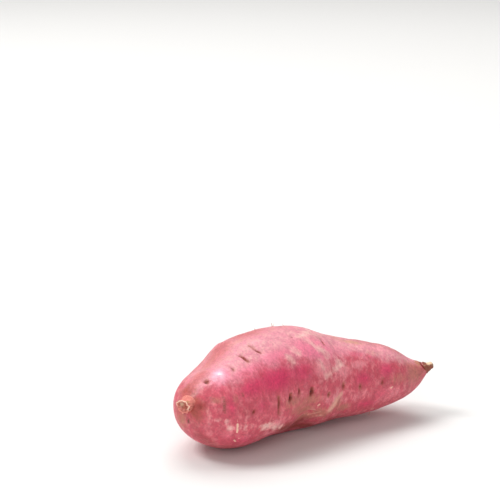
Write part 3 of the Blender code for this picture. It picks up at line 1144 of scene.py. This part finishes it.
rootlets = {
    # station, angle, length, lean along the root and lean round it, as shares of the length
    "places": (
        (81.0, 73.0, 2.4, -0.2, 0.3),
        (82.2, 71.0, 1.7, 0.5, -0.2),
        (70.5, 73.5, 1.2, -0.4, 0.2),
        (61.0, 24.0, 4.0, 0.5, -0.3),
        (98.0, 49.0, 6.0, -0.6, 0.4),
        (116.0, 352.0, 5.0, 0.6, 0.3),
        (58.0, 358.0, 3.0, -0.5, -0.4),
        (141.0, 320.0, 6.0, 0.7, 0.4),
        (33.0, 300.0, 3.0, 0.4, 0.5),
        (150.0, 250.0, 2.4, -0.6, -0.6),
    ),
    "rootDepth": 0.8,  # how deep each one starts below the skin
    "thickness": 0.32,
    "taper": 0.7,
    "curl": 0.035,  # how far it curls aside, as a share of its length
    "curlTurn": 5.0,  # radians of that curl from end to end
    "rows": 16,
    "sides": 10,
    "roughness": 0.8,
    "ior": 1.45,  # dry cellulose
    "shades": {"fibre": "#E6CDB8", "dark": "#A97A5C"},
}


def rootletMesh(name, station, angle, length, leanAlong, leanRound):
    share = np.linspace(0, 1, rootlets["rows"])
    mesh, along, around = ringedMesh(name, share, rootlets["sides"])
    at = np.array([station])
    base = rootPoints(at, np.array([angle]), np.array([-rootlets["rootDepth"]]))[0]
    outer = rootPoints(at, np.array([angle]), np.array([1.0]))[0]  # just above the skin
    outward = (outer - base) / np.linalg.norm(outer - base)
    forward = crossAxes(at)[0][0]
    beside = np.cross(forward, outward)
    bend = leanAlong * forward + leanRound * beside
    curl = rootlets["curl"] * np.sin(rootlets["curlTurn"] * along)[:, None] * beside
    reach = length + rootlets["rootDepth"]
    line = base + reach * (along[:, None] * outward + along[:, None] ** 2 * bend + curl)
    radius = rootlets["thickness"] * (1 - rootlets["taper"] * along)
    radius[0] = 0.0
    radius[-1] = 0.0
    turn = np.radians(around)
    ring = np.cos(turn)[:, None] * forward + np.sin(turn)[:, None] * beside
    placePoints(mesh, toFrame(line - radius[:, None] * ring))
    setVectorAttribute(mesh, "straight", ringPlaces(length * along, turn, 1.0))
    return mesh


def rootletMaterial():
    # Dry root hair: pale matt fibre, browner in places.
    paint = Paint("dryRootHair", rootlets["shades"])
    mottle = paint.noise(1.0, 0.8)
    paint.put("Base Color", paint.lay(paint.shades["fibre"], (("dark", mottle, mottle, 0.5, 0.45, 0.8),)))
    paint.put("Roughness", rootlets["roughness"])
    paint.put("IOR", rootlets["ior"])
    return paint.material


hairMaterial = rootletMaterial()
for number, place in enumerate(rootlets["places"], start=1):
    hairName = f"rootlet{number}"
    makePiece(hairName, rootletMesh(hairName, *place), hairMaterial)
print("rootlets made")


# Table, camera and light

stage = {
    "side": 30000.0,
    "shade": "#E8E7E5",
    "roughness": (0.85, 0.95),
    "sheenScale": 60.0,  # patches of sheen across the table, one every half metre
    "specular": 0.1,
    "worldShade": "#FFFFFF",
    "worldStrength": 0.38,
}

view = {
    "azimuth": -25.0,
    "elevation": 22.0,
    "distance": 900.0,
    "lens": 96.0,  # on a 36 mm sensor
    "sensor": 36.0,
    "centre": (-5.0, -2.3, 33.4),  # the point of the root that falls on the pixel below
    "pixel": (299.0, 384.0),
    "imageSide": 500.0,
    "clipStart": 10.0,
    "clipEnd": 50000.0,
}

lights = {
    # name: azimuth, elevation, distance, side of the square, watts; all are white
    "key": (-117.0, 54.0, 4000.0, 1400.0, 82.0),
    "topLight": (165.0, 66.0, 4000.0, 2600.0, 90.0),
    "fill": (-25.0, 35.0, 4000.0, 3200.0, 34.0),
}


def direction(azimuth, elevation):
    # towards a light or the camera: azimuth 0 is in front of the root, 90 beyond its tip
    a = math.radians(azimuth)
    e = math.radians(elevation)
    return Vector((math.sin(a) * math.cos(e), -math.cos(a) * math.cos(e), math.sin(e)))


def makeStage():
    shape = bmesh.new()
    bmesh.ops.create_grid(shape, x_segments=2, y_segments=2, size=stage["side"] / 2 * mm)
    mesh = bpy.data.meshes.new("table")
    shape.to_mesh(mesh)
    shape.free()
    # A painted table top: plain, pale and matt, with a faint unevenness in its sheen.
    paint = Paint("mattPaintedTable", {"paint": stage["shade"]})
    sheen = addNode(paint.tree, "ShaderNodeTexNoise", {}, {"Scale": stage["sheenScale"], "Detail": 2.0})
    paint.put("Roughness", paint.ranged(sheen.outputs["Fac"], 0.0, 1.0, *stage["roughness"]))
    paint.put("Base Color", paint.shades["paint"])
    paint.put("Specular IOR Level", stage["specular"])
    mesh.materials.append(paint.material)
    table = bpy.data.objects.new("table", mesh)
    bpy.context.scene.collection.objects.link(table)


def makeWorld():
    world = bpy.data.worlds.new("studio")
    world.use_nodes = True
    background = world.node_tree.nodes["Background"]
    background.inputs["Color"].default_value = linearColour(stage["worldShade"])
    background.inputs["Strength"].default_value = stage["worldStrength"]
    bpy.context.scene.world = world
    bpy.context.scene.view_settings.view_transform = "Standard"


def makeCamera():
    back = direction(view["azimuth"], view["elevation"])
    centre = Vector(view["centre"]) * mm
    right = (-back).cross(Vector((0, 0, 1))).normalized()
    up = right.cross(-back)
    focal = view["lens"] / view["sensor"] * view["imageSide"]  # in pixels
    half = view["imageSide"] / 2
    aside = (view["pixel"][0] - half) / focal * view["distance"] * mm
    below = (view["pixel"][1] - half) / focal * view["distance"] * mm
    target = centre - right * aside + up * below
    camera = bpy.data.objects.new("camera", bpy.data.cameras.new("camera"))
    camera.data.lens = view["lens"]
    camera.data.sensor_width = view["sensor"]
    camera.location = centre + back * view["distance"] * mm
    camera.rotation_euler = (target - camera.location).to_track_quat("-Z", "Y").to_euler()
    camera.data.clip_start = view["clipStart"] * mm
    camera.data.clip_end = view["clipEnd"] * mm
    bpy.context.scene.collection.objects.link(camera)
    bpy.context.scene.camera = camera


def makeLights():
    for name, (azimuth, elevation, distance, side, watts) in lights.items():
        light = bpy.data.lights.new(name, "AREA")
        light.size = side * mm
        light.energy = watts
        lamp = bpy.data.objects.new(name, light)
        towards = direction(azimuth, elevation)
        lamp.location = towards * distance * mm
        lamp.rotation_euler = towards.to_track_quat("Z", "Y").to_euler()
        bpy.context.scene.collection.objects.link(lamp)


makeStage()
makeWorld()
makeCamera()
makeLights()
print("table, camera and lights made")
